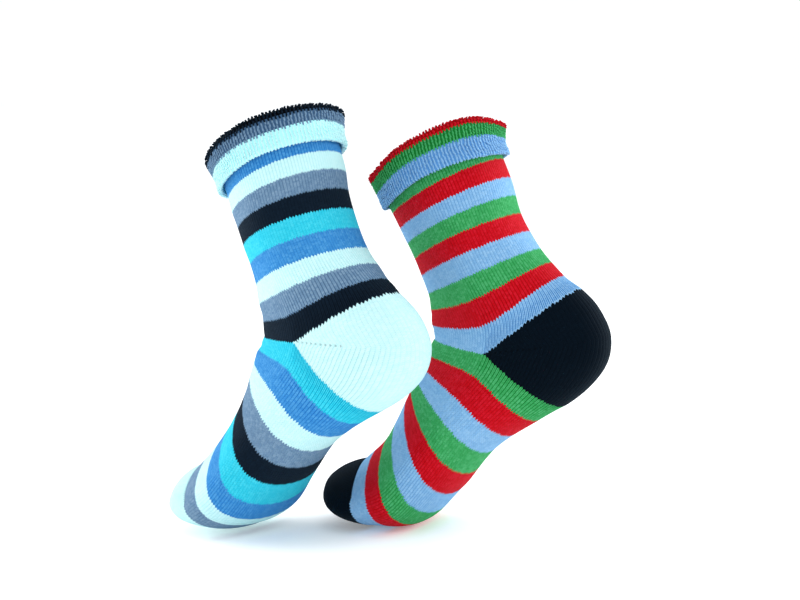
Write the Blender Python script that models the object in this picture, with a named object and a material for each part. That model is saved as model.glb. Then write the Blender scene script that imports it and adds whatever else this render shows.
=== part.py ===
# A pair of striped ankle socks knitted in cotton terry, each with a turned-down cuff.
# They keep the hollow form and tiptoe pose that they have when worn, and nothing is inside them.
# Each sock is drawn in its own frame, in millimetres: x from heel to toe, y across, z up from
# the ground. The object's origin is the middle of the aqua sock's leg opening.

import math

import bmesh
import bpy
from mathutils import Vector

MM = 0.001
COLLECTION_NAME = "pair_of_socks"

POINTS_AROUND = 36
HALF_AROUND = POINTS_AROUND // 2

# Heights along a sock are counted in stripes: 0 lies under the cuff, the heel pocket begins
# at 9 and the toe pocket at 18. A stripe on the leg is about 12 mm high. The middle of the
# opening is a little below the cuff's rim.
STRIPE = 12.0
OPENING = -1.6
CUFF_SEAM = -0.3
HEEL = 9.0
TOE = 18.0
SEAM_TRIM = 0.025

WALL = 2.2
CUFF_LAYER = 3.0
CUFF_SPACE = 2.0
CUFF_REACH = CUFF_SPACE + CUFF_LAYER
CUFF_ROLL = 0.8
CUFF_FLARE = 2.5
CUFF_FOLD_STEPS = 6
CUFF_ROLL_STEPS = 4
CUFF_LAYER_SHARES = (0.3, 0.7)

LEG_EGG = 0.20
TOE_EGG = 0.35
CREASE_PER_STRIPE = 0.30
HEEL_ROWS = 9
HEEL_TIP_SHARE = 0.3
TOE_ROWS = 6
TOE_TIP_SHARE = 0.97
TOE_TOP_POWER = 1.3
TOE_SOLE_POWER = 1.75
TOE_WIDTH_POWER = 2.6

KNIT_ROUGHNESS = 0.95
SHARP_ANGLE = 50.0

LEG_STATIONS = (CUFF_SEAM + SEAM_TRIM, 1, 2.5, 4, 5, 6, 6.7, 7.3, 8, 8.5, HEEL - SEAM_TRIM)
FOOT_STATIONS = (HEEL + SEAM_TRIM, 9.5, 10, 10.7, 11.4, 12.2, 13, 14, 15, 16, 17, TOE - SEAM_TRIM)

# A section is the sock's edge at one stripe: its front, side and back points in the plane of
# symmetry, seen from the side, and half the width across there.
SECTION_COLUMNS = ("stripe", "front_x", "front_z", "side_x", "side_z", "back_x", "back_z", "half_width")

AQUA_LEG = (
    (-2, 116, 246, 78, 267, 41, 286, 40),
    (0, 105.5, 226.5, 70, 247.5, 35, 266, 39),
    (2, 99, 210.5, 64.5, 228, 28, 245.5, 38),
    (4, 89.5, 190, 56.5, 206.5, 21.5, 220.5, 37),
    (6, 80, 166, 44, 181.5, 8.5, 196.5, 36),
    (8, 78, 144, 30, 152.5, -12, 178, 34),
    (9, 77, 135, 28, 138, -23.5, 170, 32),
)
AQUA_FOOT = (
    (9, 77, 135, 28, 138, -16.5, 94.5, 32),
    (10, 82, 127, 30, 127.5, 1, 85, 33),
    (12, 86.5, 113.5, 48, 101.5, 34, 64, 35),
    (14, 92, 93, 68.5, 70, 58.5, 38.5, 39),
    (16, 109, 68.5, 94.5, 39.5, 80, 13, 43),
    (18, 135, 42.5, 122, 23.5, 97.5, 4, 42),
)
RED_LEG = (
    (-2, 119, 240, 81, 261, 43, 279, 40),
    (0, 108.5, 220, 73, 242.5, 36, 260.5, 39),
    (2, 98.5, 201, 64.5, 224, 26.5, 238, 38),
    (4, 87.5, 181.5, 55.5, 202.5, 18.5, 214.5, 37),
    (6, 78.5, 159.5, 41, 172.5, 5, 192, 36),
    (8, 76, 139, 25, 140.5, -13, 175, 33),
    (9, 74, 130, 27, 126, -25, 167.5, 31),
)
RED_FOOT = (
    (9, 74, 130, 27, 126, -17.5, 90.5, 31),
    (10, 80.5, 120.5, 31.5, 116.5, 0.5, 80, 32),
    (12, 86.5, 107, 51, 91, 33, 57, 35),
    (14, 93, 89.5, 71.5, 60.5, 58.5, 27, 40),
    (16, 106.5, 62.5, 98, 35.5, 83, 4, 43),
    (18, 125.5, 43.5, 119, 22.5, 111.5, 1, 40),
)

# The heel's back profile is one curve between the two pocket edges, pulled out by two points.
# turn is the way the sock points, in degrees from +X, and place is its frame's x and y. A dip
# is an angle round the sock, a half width in degrees, and how much lower the cuff's rim or free
# edge lies there, in millimetres.
SOCKS = {
    "aqua_sock": {
        "leg": AQUA_LEG, "foot": AQUA_FOOT, "cuff_rim": -1.9, "cuff_edge": 0.47,
        "rim_dips": ((205, 45, 3.0),), "edge_dips": ((0, 40, -2.0), (190, 60, 1.8)),
        "heel_pulls": ((-42, 158), (-75, 125)),
        "heel_half_width": 36, "toe_tip": (151, 18), "turn": 141, "place": (0.0, 0.0),
        "colours": {"cuff": (0.55, 0.72, 0.78), "leg": (0.22, 0.47, 0.66), "heel": (0.62, 0.93, 0.91),
                    "foot": (0.10, 0.52, 0.70), "toe": (0.62, 0.93, 0.91)},
    },
    "red_sock": {
        "leg": RED_LEG, "foot": RED_FOOT, "cuff_rim": -1.97, "cuff_edge": 0.5,
        "rim_dips": ((193, 40, 9.6), (40, 30, 7.0)), "edge_dips": ((185, 62, 5.6), (40, 30, 2.0)),
        "heel_pulls": ((-41, 155), (-68, 125)),
        "heel_half_width": 34, "toe_tip": (153, 21.5), "turn": 155, "place": (116.0, 39.0),
        "colours": {"cuff": (0.10, 0.36, 0.14), "leg": (0.60, 0.02, 0.03), "heel": (0.003, 0.01, 0.02),
                    "foot": (0.12, 0.38, 0.12), "toe": (0.003, 0.01, 0.02)},
    },
}
ORIGIN_SOCK = "aqua_sock"


# One value of a table's column at any height, on a smooth curve through the rows.
def smooth_value(rows, column, height):
    last = len(rows) - 2
    start = max(i for i in range(last + 1) if i == 0 or rows[i][0] <= height)

    def slope(i):
        low, high = max(i - 1, 0), min(i + 1, len(rows) - 1)
        return (rows[high][column] - rows[low][column]) / (rows[high][0] - rows[low][0])

    a, b = rows[start], rows[start + 1]
    span = b[0] - a[0]
    t = (height - a[0]) / span
    return (
        (2 * t**3 - 3 * t**2 + 1) * a[column] + (t**3 - 2 * t**2 + t) * span * slope(start)
        + (3 * t**2 - 2 * t**3) * b[column] + (t**3 - t**2) * span * slope(start + 1)
    )


# A section of the leg or the foot at any height, as named values.
def section_at(rows, height):
    values = {name: smooth_value(rows, i, height) for i, name in enumerate(SECTION_COLUMNS) if i}
    along_foot = min(max((height - HEEL) / (TOE - HEEL), 0.0), 1.0)
    return {
        "front": Vector((values["front_x"], values["front_z"])),
        "side": Vector((values["side_x"], values["side_z"])),
        "back": Vector((values["back_x"], values["back_z"])),
        "half_width": values["half_width"],
        "crease": CREASE_PER_STRIPE * abs(height - HEEL),
        "egg": LEG_EGG + (TOE_EGG - LEG_EGG) * along_foot,
        "spread": 1.0,
    }


# The point of a section at an angle, 0 at the front and 180 degrees at the back, moved outwards
# by a distance. crease is 0 where the section bends sharply at its sides, at the heel's ends.
def section_point(section, angle, outwards):
    c = math.cos(angle)
    crease = section["crease"]
    blend = math.sqrt(c * c + crease * crease) / math.sqrt(1 + crease * crease)
    side = section["side"]
    front = section["front"] + (section["front"] - side).normalized() * outwards
    back = section["back"] + (section["back"] - side).normalized() * outwards
    flat = side * (1 - blend) + front * (blend + c) / 2 + back * (blend - c) / 2
    wide = 1 + (section["spread"] - 1) * max(0.0, -c)
    across = (section["half_width"] + outwards) * math.sin(angle) * (1 - section["egg"] * c) * wide
    return Vector((flat.x, across, flat.y)) * MM


def section_ring(section, outwards):
    return [section_point(section, math.tau * i / POINTS_AROUND, outwards) for i in range(POINTS_AROUND)]


# Sections that fan out from the gore's tips, down the back of the heel.
def heel_sections(sock):
    top = section_at(sock["leg"], HEEL)
    start, end = top["back"], section_at(sock["foot"], HEEL)["back"]
    pull_a, pull_b = (Vector(p) for p in sock["heel_pulls"])
    sections = []
    for i in range(HEEL_ROWS):
        t = i / (HEEL_ROWS - 1)
        back = (1 - t)**3 * start + 3 * (1 - t)**2 * t * pull_a + 3 * (1 - t) * t**2 * pull_b + t**3 * end
        spread = 1 + (sock["heel_half_width"] / top["half_width"] - 1) * math.sin(math.pi * t)
        sections.append({**top, "back": back, "spread": spread})
    return sections


# Sections that shrink from the last stripe of the foot to the tip of the toes, and the tip. The
# inner side is the same form, made from a smaller last stripe and a tip that is nearer to it.
def toe_form(sock, inset):
    base = section_at(sock["foot"], TOE)
    front, back = (base[end] + (base["side"] - base[end]).normalized() * inset for end in ("front", "back"))
    middle, half = (front + back) / 2, (front - back) / 2
    outer_tip = Vector(sock["toe_tip"])
    tip = outer_tip + (middle - outer_tip).normalized() * inset
    sections = []
    for i in range(TOE_ROWS):
        t = TOE_TIP_SHARE * math.sin(math.pi / 2 * i / (TOE_ROWS - 1))
        centre = middle + (tip - middle) * t
        powers = (TOE_TOP_POWER, TOE_SOLE_POWER, TOE_WIDTH_POWER)
        top, sole, wide = (math.sqrt(1 - t**power) for power in powers)
        sections.append({
            **base, "front": centre + half * top, "back": centre - half * sole,
            "side": centre + (base["side"] - middle) * (top + sole) / 2,
            "half_width": (base["half_width"] - inset) * wide,
        })
    return sections, Vector((tip.x, 0, tip.y)) * MM


# A closed solid between an outer and an inner grid of points. Rows run along the sock. With
# wrap, each row is a full ring; with tips, the last rows close on one point each.
def wall_mesh(name, outer, inner, wrap=True, tips=None):
    bm = bmesh.new()
    grids = [[[bm.verts.new(p) for p in row] for row in grid] for grid in (outer, inner)]
    count = len(outer[0])
    columns = range(count if wrap else count - 1)
    for grid in grids:
        for above, below in zip(grid, grid[1:]):
            for i in columns:
                j = (i + 1) % count
                bm.faces.new((above[i], above[j], below[j], below[i]))
    ends = (0,) if tips else (0, -1)
    for end in ends:
        for i in columns:
            j = (i + 1) % count
            bm.faces.new((grids[0][end][i], grids[0][end][j], grids[1][end][j], grids[1][end][i]))
    if tips:
        for grid, tip in zip(grids, tips):
            point = bm.verts.new(tip)
            for i in columns:
                bm.faces.new((grid[-1][i], grid[-1][(i + 1) % count], point))
    if not wrap:
        for side in (0, -1):
            for row in range(len(outer) - 1):
                a, b = grids[0][row][side], grids[0][row + 1][side]
                c, d = grids[1][row + 1][side], grids[1][row][side]
                bm.faces.new((a, b, c, d))
    return finish_mesh(name, bm)


# A closed solid through rings, whose last ring joins the first again.
def loop_mesh(name, rings):
    bm = bmesh.new()
    loops = [[bm.verts.new(p) for p in ring] for ring in rings]
    for k, ring in enumerate(loops):
        following = loops[(k + 1) % len(loops)]
        for i in range(POINTS_AROUND):
            j = (i + 1) % POINTS_AROUND
            bm.faces.new((ring[i], ring[j], following[j], following[i]))
    return finish_mesh(name, bm)


def finish_mesh(name, bm):
    bmesh.ops.recalc_face_normals(bm, faces=bm.faces)
    bmesh.ops.triangulate(bm, faces=bm.faces)
    mesh = bpy.data.meshes.new(name)
    bm.to_mesh(mesh)
    bm.free()
    mesh.shade_smooth()
    mesh.set_sharp_from_angle(angle=math.radians(SHARP_ANGLE))
    return mesh


def tube_mesh(name, rows, stations):
    sections = [section_at(rows, height) for height in stations]
    return wall_mesh(name, [section_ring(s, 0) for s in sections], [section_ring(s, -WALL) for s in sections])


# The cuff goes up inside, folds over and comes down outside, to a soft rolled edge. Its profile
# is a list of heights in stripes, distances out from the leg's outer face, and shares of the
# rim's dips and of the edge's dips.
def cuff_profile(rim, edge):
    fold_middle = (CUFF_REACH - WALL) / 2
    fold_radius = (CUFF_REACH + WALL) / 2
    fold_base = rim + fold_radius / STRIPE
    lower_end = CUFF_SEAM - SEAM_TRIM
    inner_middle = (lower_end + fold_base) / 2
    profile = [(lower_end, -WALL, 0, 0), (inner_middle, -WALL, 0.5, 0)]
    for i in range(CUFF_FOLD_STEPS + 1):
        angle = math.pi * (1 - i / CUFF_FOLD_STEPS)
        height = fold_base - math.sin(angle) * fold_radius / STRIPE
        profile.append((height, fold_middle + math.cos(angle) * fold_radius, 1, 0))
    roll_middle = CUFF_SPACE + CUFF_LAYER / 2
    roll_radius = CUFF_LAYER / 2 + CUFF_ROLL
    roll_base = edge - roll_radius / STRIPE
    layer = [(fold_base + (roll_base - fold_base) * share, 1 - share, share) for share in CUFF_LAYER_SHARES]
    profile += [(height, CUFF_REACH, on_rim, on_edge) for height, on_rim, on_edge in layer]
    for i in range(CUFF_ROLL_STEPS + 1):
        angle = math.pi * i / CUFF_ROLL_STEPS
        height = roll_base + math.sin(angle) * roll_radius / STRIPE
        profile.append((height, roll_middle + math.cos(angle) * roll_radius, 0, 1))
    profile += [(height, CUFF_SPACE, on_rim, on_edge) for height, on_rim, on_edge in reversed(layer)]
    profile.append((fold_base, CUFF_SPACE, 1, 0))
    profile += [(fold_base - CUFF_SPACE / 2 / STRIPE, CUFF_SPACE / 2, 1, 0), (fold_base, 0.0, 1, 0)]
    profile += [(inner_middle, 0.0, 0.5, 0), (lower_end, 0.0, 0, 0)]
    return profile


def dip_at(degrees, dips):
    total = 0.0
    for middle, half_width, drop in dips:
        away = (degrees - middle + 180) % 360 - 180
        total += drop * math.exp(-(away / half_width)**2)
    return total


# The layers lean out a little towards the rim.
def cuff_mesh(name, sock):
    rim, edge = sock["cuff_rim"], sock["cuff_edge"]
    rings = []
    for height, out, on_rim, on_edge in cuff_profile(rim, edge):
        flare = CUFF_FLARE * max(0.0, (CUFF_SEAM - height) / (CUFF_SEAM - rim))
        ring = []
        for i in range(POINTS_AROUND):
            degrees = 360 * i / POINTS_AROUND
            rim_dip, edge_dip = (dip_at(degrees, sock[key]) for key in ("rim_dips", "edge_dips"))
            dip = on_rim * rim_dip + on_edge * edge_dip
            section = section_at(sock["leg"], height + dip / STRIPE)
            ring.append(section_point(section, math.radians(degrees), out + flare))
        rings.append(ring)
    return loop_mesh(name, rings)


# The pocket ends just short of the gore's two tips, where its rows all meet.
def heel_mesh(name, sock):
    step = math.tau / POINTS_AROUND
    angles = [math.pi / 2 + HEEL_TIP_SHARE * step]
    angles += [math.pi / 2 + step * i for i in range(1, HALF_AROUND)]
    angles += [math.pi * 1.5 - HEEL_TIP_SHARE * step]
    sections = heel_sections(sock)
    grids = [[[section_point(s, a, out) for a in angles] for s in sections] for out in (0, -WALL)]
    return wall_mesh(name, grids[0], grids[1], wrap=False)


def toe_mesh(name, sock):
    forms = [toe_form(sock, inset) for inset in (0, WALL)]
    outer, inner = ([section_ring(section, 0) for section in sections] for sections, tip in forms)
    return wall_mesh(name, outer, inner, tips=[tip for sections, tip in forms])


def make_material(name, colour):
    material = bpy.data.materials.new(name)
    material.use_nodes = True
    shader = material.node_tree.nodes["Principled BSDF"]
    shader.inputs["Base Color"].default_value = (*colour, 1.0)
    shader.inputs["Roughness"].default_value = KNIT_ROUGHNESS
    shader.inputs["Metallic"].default_value = 0.0
    return material


# The empty that carries a sock stands where the sock's frame does.
def sock_empty(name, sock, collection):
    anchor = SOCKS[ORIGIN_SOCK]
    opening = section_at(anchor["leg"], OPENING)["side"]
    turn = math.radians(anchor["turn"])
    empty = bpy.data.objects.new(name + "_frame", None)
    empty.location = (
        (sock["place"][0] - opening.x * math.cos(turn)) * MM,
        (sock["place"][1] - opening.x * math.sin(turn)) * MM,
        -opening.y * MM,
    )
    empty.rotation_euler = (0, 0, math.radians(sock["turn"]))
    collection.objects.link(empty)
    return empty


def build_sock(name, sock, collection):
    empty = sock_empty(name, sock, collection)
    makers = {
        "cuff": lambda label: cuff_mesh(label, sock),
        "leg": lambda label: tube_mesh(label, sock["leg"], LEG_STATIONS),
        "heel": lambda label: heel_mesh(label, sock),
        "foot": lambda label: tube_mesh(label, sock["foot"], FOOT_STATIONS),
        "toe": lambda label: toe_mesh(label, sock),
    }
    for piece, make in makers.items():
        label = f"{name}_{piece}"
        mesh = make(label)
        mesh.materials.append(make_material(label, sock["colours"][piece]))
        obj = bpy.data.objects.new(label, mesh)
        obj.parent = empty
        collection.objects.link(obj)


def main():
    for obj in list(bpy.data.objects):
        bpy.data.objects.remove(obj, do_unlink=True)
    collection = bpy.data.collections.new(COLLECTION_NAME)
    bpy.context.scene.collection.children.link(collection)
    for name, sock in SOCKS.items():
        build_sock(name, sock, collection)


main()
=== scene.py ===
import math
from functools import partial
import bpy
import numpy as np
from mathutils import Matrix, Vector


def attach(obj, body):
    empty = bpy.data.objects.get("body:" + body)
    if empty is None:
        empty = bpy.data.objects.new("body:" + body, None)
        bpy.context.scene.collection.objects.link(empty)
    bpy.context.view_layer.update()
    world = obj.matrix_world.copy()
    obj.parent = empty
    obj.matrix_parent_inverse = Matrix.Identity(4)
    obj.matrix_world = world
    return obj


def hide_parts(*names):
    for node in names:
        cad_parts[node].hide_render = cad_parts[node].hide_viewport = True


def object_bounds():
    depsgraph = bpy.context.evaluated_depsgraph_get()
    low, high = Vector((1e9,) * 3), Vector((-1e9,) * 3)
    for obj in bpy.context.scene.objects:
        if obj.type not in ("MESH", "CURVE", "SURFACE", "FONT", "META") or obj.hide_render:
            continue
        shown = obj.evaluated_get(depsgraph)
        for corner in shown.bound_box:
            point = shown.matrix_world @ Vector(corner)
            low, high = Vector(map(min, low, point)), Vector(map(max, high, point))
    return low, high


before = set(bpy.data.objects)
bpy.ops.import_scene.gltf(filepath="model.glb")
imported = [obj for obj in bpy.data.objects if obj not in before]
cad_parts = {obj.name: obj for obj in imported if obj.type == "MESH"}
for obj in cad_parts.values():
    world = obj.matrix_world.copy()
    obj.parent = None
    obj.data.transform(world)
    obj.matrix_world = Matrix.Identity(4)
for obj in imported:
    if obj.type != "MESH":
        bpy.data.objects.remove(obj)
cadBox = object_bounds()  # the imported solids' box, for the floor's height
print("frame loaded:", len(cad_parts), "solids")

mm = 0.001

# Both socks come off the same machine. Lengths are in mm, stations are counted in stripes.
knit = {
    "needles": 120,  # columns of stitches round the tube
    "courses": 10,  # rows of stitches in a stripe
    "stripe": 12.0,  # height of a stripe on the leg
    "heelAt": 9.0,
    "toeAt": 18.0,
    "wall": 2.2,  # cloth with its pile
    "pile": 1.2,  # how far the terry loops stand off the ground cloth
    "legEgg": 0.20,
    "toeEgg": 0.35,
    "creasePerStripe": 0.30,
    "toeTop": 1.3,  # how full the toe pocket stays towards its tip, over the toes
    "toeSole": 1.75,
    "toeSides": 2.6,
    "toeBlunt": 0.87,
    "openingAt": -1.6,  # the middle of the aqua sock's opening is the origin
}

# Rows of a sock's own side view: station, front x z, side x z, back x z, half width.
aquaLeg = (
    (-2, 116, 246, 78, 267, 41, 286, 40),
    (0, 105.5, 226.5, 70, 247.5, 35, 266, 39),
    (2, 99, 210.5, 64.5, 228, 28, 245.5, 38),
    (4, 89.5, 190, 56.5, 206.5, 21.5, 220.5, 37),
    (6, 80, 166, 44, 181.5, 8.5, 196.5, 36),
    (8, 78, 144, 30, 152.5, -12, 178, 34),
    (9, 77, 135, 28, 138, -23.5, 170, 32),
)
aquaFoot = (
    (9, 77, 135, 28, 138, -16.5, 94.5, 32),
    (10, 82, 127, 30, 127.5, 1, 85, 33),
    (12, 86.5, 113.5, 48, 101.5, 34, 64, 35),
    (14, 92, 93, 68.5, 70, 58.5, 38.5, 39),
    (16, 109, 68.5, 94.5, 39.5, 80, 13, 43),
    (18, 135, 42.5, 122, 23.5, 97.5, 4, 42),
)
redLeg = (
    (-2, 119, 240, 81, 261, 43, 279, 40),
    (0, 108.5, 220, 73, 242.5, 36, 260.5, 39),
    (2, 98.5, 201, 64.5, 224, 26.5, 238, 38),
    (4, 87.5, 181.5, 55.5, 202.5, 18.5, 214.5, 37),
    (6, 78.5, 159.5, 41, 172.5, 5, 192, 36),
    (8, 76, 139, 25, 140.5, -13, 175, 33),
    (9, 74, 130, 27, 126, -25, 167.5, 31),
)
redFoot = (
    (9, 74, 130, 27, 126, -17.5, 90.5, 31),
    (10, 80.5, 120.5, 31.5, 116.5, 0.5, 80, 32),
    (12, 86.5, 107, 51, 91, 33, 57, 35),
    (14, 93, 89.5, 71.5, 60.5, 58.5, 27, 40),
    (16, 106.5, 62.5, 98, 35.5, 83, 4, 43),
    (18, 125.5, 43.5, 119, 22.5, 111.5, 1, 40),
)

# Dyed cotton, as sRGB hex. Stripes are listed from the cuff down, and cuff bands start at mm
# from the top of the fold, from inside the mouth to the free edge. Dips are angle, half width in
# degrees, and the mm that the rim, the free edge or the bands lie lower there.
yarns = {
    "mint": "#C1EAEC", "slate": "#6B88A3", "black": "#0B1825", "cyan": "#35C3DA", "blue": "#3E89C7",
    "red": "#BC0E1D", "green": "#3C9B5A", "sky": "#7FADD5", "navy": "#020B15",
}
aquaStripes = ("cyan", "blue", "mint", "slate", "black")
redStripes = ("green", "red", "sky")
socks = {
    "aqua": {
        "leg": aquaLeg, "foot": aquaFoot, "cuffRim": -1.9, "cuffEdge": 0.47, "cuffLean": 0.5,
        "rimDips": ((205, 45, 3.0),), "edgeDips": ((0, 40, -2.0), (190, 60, 1.8)),
        "bandDips": ((135, 34, 2.0),), "heelPulls": ((-42, 158), (-75, 125)),
        "heelHalfWidth": 36, "heelTeeth": 1.65, "toeTip": (151, 18), "turn": 141, "place": (0.0, 0.0),
        "legStripes": (*aquaStripes[1:], *aquaStripes), "footStripes": (*aquaStripes, *aquaStripes[:4]),
        "plain": "mint", "seed": 11,
        "cuffBands": ((-40.0, "cyan"), (-5.0, "black"), (3.4, "slate"), (12.2, "mint")),
        "slots": {"cuff": "aqua_terry", "stripes": "aqua_stripes", "plain": "aqua_plain"},
    },
    "red": {
        "leg": redLeg, "foot": redFoot, "cuffRim": -2.05, "cuffEdge": 0.5, "cuffLean": 2.6,
        "rimDips": ((198, 40, 12.0), (40, 30, 4.4)), "edgeDips": ((185, 62, 5.6), (40, 30, 2.0)),
        "bandDips": ((120, 40, 1.0),), "heelPulls": ((-41, 155), (-68, 125)),
        "heelHalfWidth": 34, "heelTeeth": 1.15, "toeTip": (153, 21.5), "turn": 155, "place": (116.0, 39.0),
        "legStripes": redStripes * 3, "footStripes": redStripes * 3,
        "plain": "navy", "seed": 23,
        "cuffBands": ((-40.0, "sky"), (-5.0, "red"), (4.3, "green"), (14.4, "sky")),
        "slots": {"cuff": "red_terry", "stripes": "red_stripes", "plain": "navy_plain"},
    },
}


# Form of the socks

def smoothColumns(rows, stations):  # every column of a table at any station, on smooth curves
    table = np.array(rows, float)
    knots, values = table[:, 0], table[:, 1:]
    slopes = np.empty_like(values)
    slopes[1:-1] = (values[2:] - values[:-2]) / (knots[2:] - knots[:-2])[:, None]
    slopes[0] = (values[1] - values[0]) / (knots[1] - knots[0])
    slopes[-1] = (values[-1] - values[-2]) / (knots[-1] - knots[-2])
    i = np.clip(np.searchsorted(knots, stations, side="right") - 1, 0, len(knots) - 2)
    span = (knots[i + 1] - knots[i])[..., None]
    t = (stations - knots[i])[..., None] / span
    return (
        (2 * t**3 - 3 * t**2 + 1) * values[i] + (t**3 - 2 * t**2 + t) * span * slopes[i]
        + (3 * t**2 - 2 * t**3) * values[i + 1] + (t**3 - t**2) * span * slopes[i + 1]
    )


def sectionAt(rows, stations):
    columns = smoothColumns(rows, stations)
    alongFoot = np.clip((stations - knit["heelAt"]) / (knit["toeAt"] - knit["heelAt"]), 0, 1)
    return {
        "front": columns[..., 0:2], "side": columns[..., 2:4], "back": columns[..., 4:6],
        "halfWidth": columns[..., 6], "crease": knit["creasePerStripe"] * np.abs(stations - knit["heelAt"]),
        "egg": knit["legEgg"] + (knit["toeEgg"] - knit["legEgg"]) * alongFoot, "spread": 1.0,
    }


def unit(vectors):
    return vectors / np.maximum(np.linalg.norm(vectors, axis=-1, keepdims=True), 1e-9)


def sectionPoints(section, angles, outwards=0.0):  # mm, in the sock's own frame; angle 0 is the front
    c, crease = np.cos(angles), section["crease"]
    blend = (np.sqrt(c * c + crease * crease) / np.sqrt(1 + crease * crease))[..., None]
    side = section["side"]
    outwards = np.broadcast_to(outwards, c.shape)
    front = section["front"] + unit(section["front"] - side) * outwards[..., None]
    back = section["back"] + unit(section["back"] - side) * outwards[..., None]
    cc = c[..., None]
    flat = side * (1 - blend) + front * (blend + cc) / 2 + back * (blend - cc) / 2
    wide = 1 + (section["spread"] - 1) * np.maximum(0, -c)
    across = (section["halfWidth"] + outwards) * np.sin(angles) * (1 - section["egg"] * c) * wide
    return np.stack([flat[..., 0], across, flat[..., 1]], axis=-1)


def tubePoints(rows, stations, angles, outwards=0.0):
    stations, angles = np.broadcast_arrays(stations, angles)
    return sectionPoints(sectionAt(rows, stations), angles, outwards)


def lengthAlong(points, axis=0):  # mm from the start of each line of points to all its points
    run = np.cumsum(np.linalg.norm(np.diff(points, axis=axis), axis=-1), axis=axis)
    return np.concatenate([np.zeros_like(run.take([0], axis)), run], axis=axis)


def evenAngles(surface, u):  # angles that space columns evenly within each quarter of the tube
    probe = np.linspace(0, math.pi / 2, 41)[None, :]  # fine enough to measure a quarter's length
    angles = None
    for quarter in range(4):
        inside = (u * 4 >= quarter - 1e-9) & (u * 4 <= quarter + 1 + 1e-9)
        if not inside.any():
            continue
        run = lengthAlong(surface(probe + quarter * math.pi / 2), axis=1)
        run = run / run[:, -1:]
        angles = np.empty((len(run), len(u))) if angles is None else angles
        for row, share in zip(angles, run):
            row[inside] = np.interp(u[inside] * 4 - quarter, share, probe[0]) + quarter * math.pi / 2
    return angles


def heelPoints(sock, sweep, angles, inset=0.0):  # sweep 0 at the leg, 1 at the sole
    sweep, angles = np.broadcast_arrays(sweep, angles)
    heelAt = np.full(sweep.shape, knit["heelAt"])
    top = sectionAt(sock["leg"], heelAt)
    start, end = top["back"], sectionAt(sock["foot"], heelAt)["back"]
    pullA, pullB = (np.array(pull, float) for pull in sock["heelPulls"])
    t = sweep[..., None]
    back = (1 - t)**3 * start + 3 * (1 - t)**2 * t * pullA + 3 * (1 - t) * t**2 * pullB + t**3 * end
    spread = 1 + (sock["heelHalfWidth"] / top["halfWidth"] - 1) * np.sin(math.pi * sweep)
    return sectionPoints({**top, "back": back, "spread": spread}, angles, -inset)


def toePoints(sock, sweep, angles, inset=0.0):  # sweep 0 at the top of the toes, 1 at the sole
    sweep, angles = np.broadcast_arrays(sweep, angles)
    lateral, turn = np.sin(angles), sweep * math.pi
    forward = np.abs(np.cos(angles)) * np.sin(turn)
    up = np.abs(np.cos(angles)) * np.cos(turn)
    t = forward**knit["toeBlunt"]
    base = sectionAt(sock["foot"], np.full(sweep.shape, knit["toeAt"]))
    front = base["front"] + unit(base["side"] - base["front"]) * inset
    back = base["back"] + unit(base["side"] - base["back"]) * inset
    middle, half = (front + back) / 2, (front - back) / 2
    outerTip = np.array(sock["toeTip"], float)
    tip = outerTip + unit(middle - outerTip) * inset
    top, sole, wide = (np.sqrt(np.maximum(1 - t**knit[k], 0)) for k in ("toeTop", "toeSole", "toeSides"))
    centre = middle + (tip - middle) * t[..., None]
    section = {
        **base, "front": centre + half * top[..., None], "back": centre - half * sole[..., None],
        "side": centre + (base["side"] - middle) * ((top + sole) / 2)[..., None],
        "halfWidth": (base["halfWidth"] - inset) * wide,
    }
    return sectionPoints(section, np.arctan2(lateral, up))


def standSock(sock, points):  # from a sock's own frame in mm to the row frame in metres
    anchor = socks["aqua"]
    opening = sectionAt(anchor["leg"], np.array(knit["openingAt"]))["side"]
    turn, anchorTurn = math.radians(sock["turn"]), math.radians(anchor["turn"])
    x, y, z = points[..., 0], points[..., 1], points[..., 2]
    return np.stack([
        x * math.cos(turn) - y * math.sin(turn) + sock["place"][0] - opening[0] * math.cos(anchorTurn),
        x * math.sin(turn) + y * math.cos(turn) + sock["place"][1] - opening[0] * math.sin(anchorTurn),
        z - opening[1],
    ], axis=-1) * mm


# Mesh helpers

def gridNormals(points, wrap):  # outward normals of a grid whose rows run along the sock
    if wrap:
        around = np.roll(points, -1, axis=1) - np.roll(points, 1, axis=1)
    else:
        around = np.gradient(points, axis=1)
    along = np.gradient(points, axis=0)
    normals = unit(np.cross(along, around))
    if not wrap:
        normals[:, 0], normals[:, -1] = normals[:, 1], normals[:, -2]
    return normals


def pointGrid(rows, columns, wrap, first=0):  # numbers of a grid's points, row by row
    grid = np.arange(rows * columns).reshape(rows, columns) + first
    return np.concatenate([grid, grid[:, :1]], axis=1) if wrap else grid


def gridQuads(grid, flip=False):
    corners = [grid[:-1, :-1], grid[:-1, 1:], grid[1:, 1:], grid[1:, :-1]]
    return np.stack(corners[::-1] if flip else corners, axis=-1).reshape(-1, 4)


def addObject(name, data):
    thing = bpy.data.objects.new(name, data)
    bpy.context.scene.collection.objects.link(thing)
    return thing


def addPiece(name, points, faces, materials, faceMaterials=None):
    mesh = bpy.data.meshes.new(name)
    mesh.from_pydata(points.reshape(-1, 3).tolist(), [], faces)
    for material in materials:
        mesh.materials.append(material)
    if faceMaterials is not None:
        mesh.polygons.foreach_set("material_index", np.asarray(faceMaterials, np.int32))
    mesh.shade_smooth()
    return addObject(name, mesh)


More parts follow.
